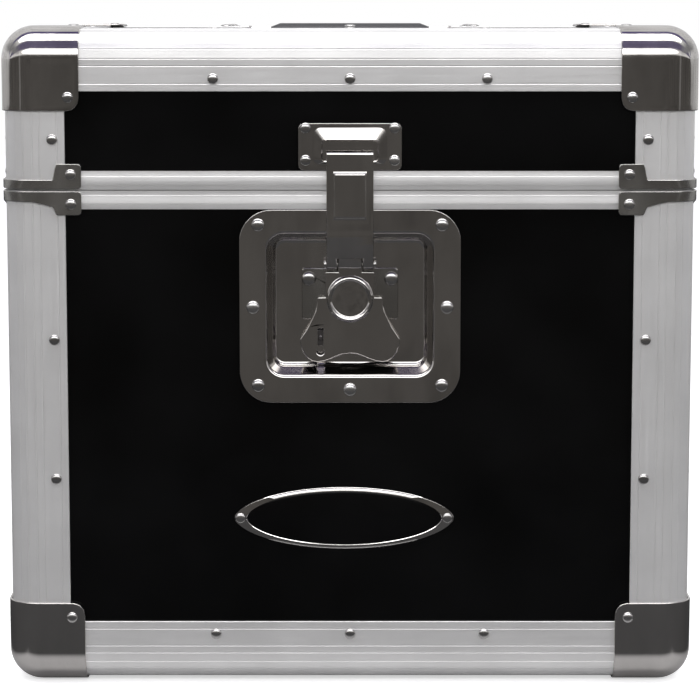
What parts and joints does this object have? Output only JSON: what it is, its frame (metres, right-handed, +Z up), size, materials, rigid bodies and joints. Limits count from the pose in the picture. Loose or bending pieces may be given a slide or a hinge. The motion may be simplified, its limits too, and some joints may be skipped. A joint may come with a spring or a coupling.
{
  "type": "record carrying case",
  "caption": "Upright hard case for 12 inch records: black panels in aluminium edges, ball corners, hinged lid, recessed draw latch with a lever and strap, folding top handle.",
  "frame": {"origin": "middle of the underside, on the surface that the case stands on", "axes": "-Y is the way the latch faces, +X is to the right of someone who looks at the latch, +Z is up"},
  "size_m": [0.359, 0.3194, 0.3438],
  "materials": {
    "aluminium": "satin extruded",
    "laminate": "glossy black laminate on plywood",
    "chrome": "bright plated steel",
    "steel": "satin plated steel",
    "rubber": "matt moulded grip"
  },
  "bodies": {
    "base": {"base_panel_front": "laminate", "base_panel_rear": "laminate", "base_panel_left": "laminate", "base_panel_right": "laminate", "base_panel_bottom": "laminate", "base_post_front_left": "aluminium", "base_post_front_right": "aluminium", "base_post_rear_left": "aluminium", "base_post_rear_right": "aluminium", "base_rail_front": "aluminium", "base_rail_rear": "aluminium", "base_rail_left": "aluminium", "base_rail_right": "aluminium", "base_band": "aluminium", "base_ball_corner_front_left": "chrome", "base_ball_corner_front_right": "chrome", "base_ball_corner_rear_left": "chrome", "base_ball_corner_rear_right": "chrome", "base_brace_front_left": "steel", "base_brace_front_right": "steel", "base_brace_rear_left": "steel", "base_brace_rear_right": "steel", "latch_dish": "chrome", "latch_bracket": "steel", "latch_pivot_pin": "steel", "hinge_base_leaf_left": "steel", "hinge_base_leaf_right": "steel"},
    "lid": {"lid_panel_front": "laminate", "lid_panel_rear": "laminate", "lid_panel_left": "laminate", "lid_panel_right": "laminate", "lid_panel_top": "laminate", "lid_post_front_left": "aluminium", "lid_post_front_right": "aluminium", "lid_post_rear_left": "aluminium", "lid_post_rear_right": "aluminium", "lid_rail_front": "aluminium", "lid_rail_rear": "aluminium", "lid_rail_left": "aluminium", "lid_rail_right": "aluminium", "lid_band": "aluminium", "lid_ball_corner_front_left": "chrome", "lid_ball_corner_front_right": "chrome", "lid_ball_corner_rear_left": "chrome", "lid_ball_corner_rear_right": "chrome", "lid_brace_front_left": "steel", "lid_brace_front_right": "steel", "lid_brace_rear_left": "steel", "lid_brace_rear_right": "steel", "latch_catch": "chrome", "handle_dish": "chrome", "hinge_lid_leaf_left": "steel", "hinge_lid_leaf_right": "steel"},
    "latch_lever": {"latch_lever": "chrome", "latch_strap_pin": "steel"},
    "latch_strap": {"latch_strap": "chrome"},
    "lock_cam": {"latch_lock_cam": "steel"},
    "handle": {"handle_bail": "chrome", "handle_grip": "rubber"}
  },
  "joints": [
    {"name": "lid_hinge", "type": "hinge", "parent": "base", "child": "lid", "pos_m": [0, 0.15645, 0.2591], "axis": [-1, 0, 0], "range_deg": [0, 100]},
    {"name": "lever_pivot", "type": "hinge", "parent": "base", "child": "latch_lever", "pos_m": [0, -0.15265, 0.2285], "axis": [-1, 0, 0], "range_deg": [0, 100]},
    {"name": "strap_pivot", "type": "hinge", "parent": "latch_lever", "child": "latch_strap", "pos_m": [0, -0.15165, 0.2205], "axis": [1, 0, 0], "range_deg": [0, 111]},
    {"name": "cam_turn", "type": "hinge", "parent": "latch_lever", "child": "lock_cam", "pos_m": [-0.0153, -0.14875, 0.1819], "axis": [0, 1, 0], "range_deg": [0, 90]},
    {"name": "handle_pivot", "type": "hinge", "parent": "lid", "child": "handle", "pos_m": [0, 0.02285, 0.337], "axis": [-1, 0, 0], "range_deg": [0, 90]}
  ],
  "couplings": [
    {"joint": "strap_pivot", "follows": "lever_pivot", "ratio": 1.1}
  ]
}
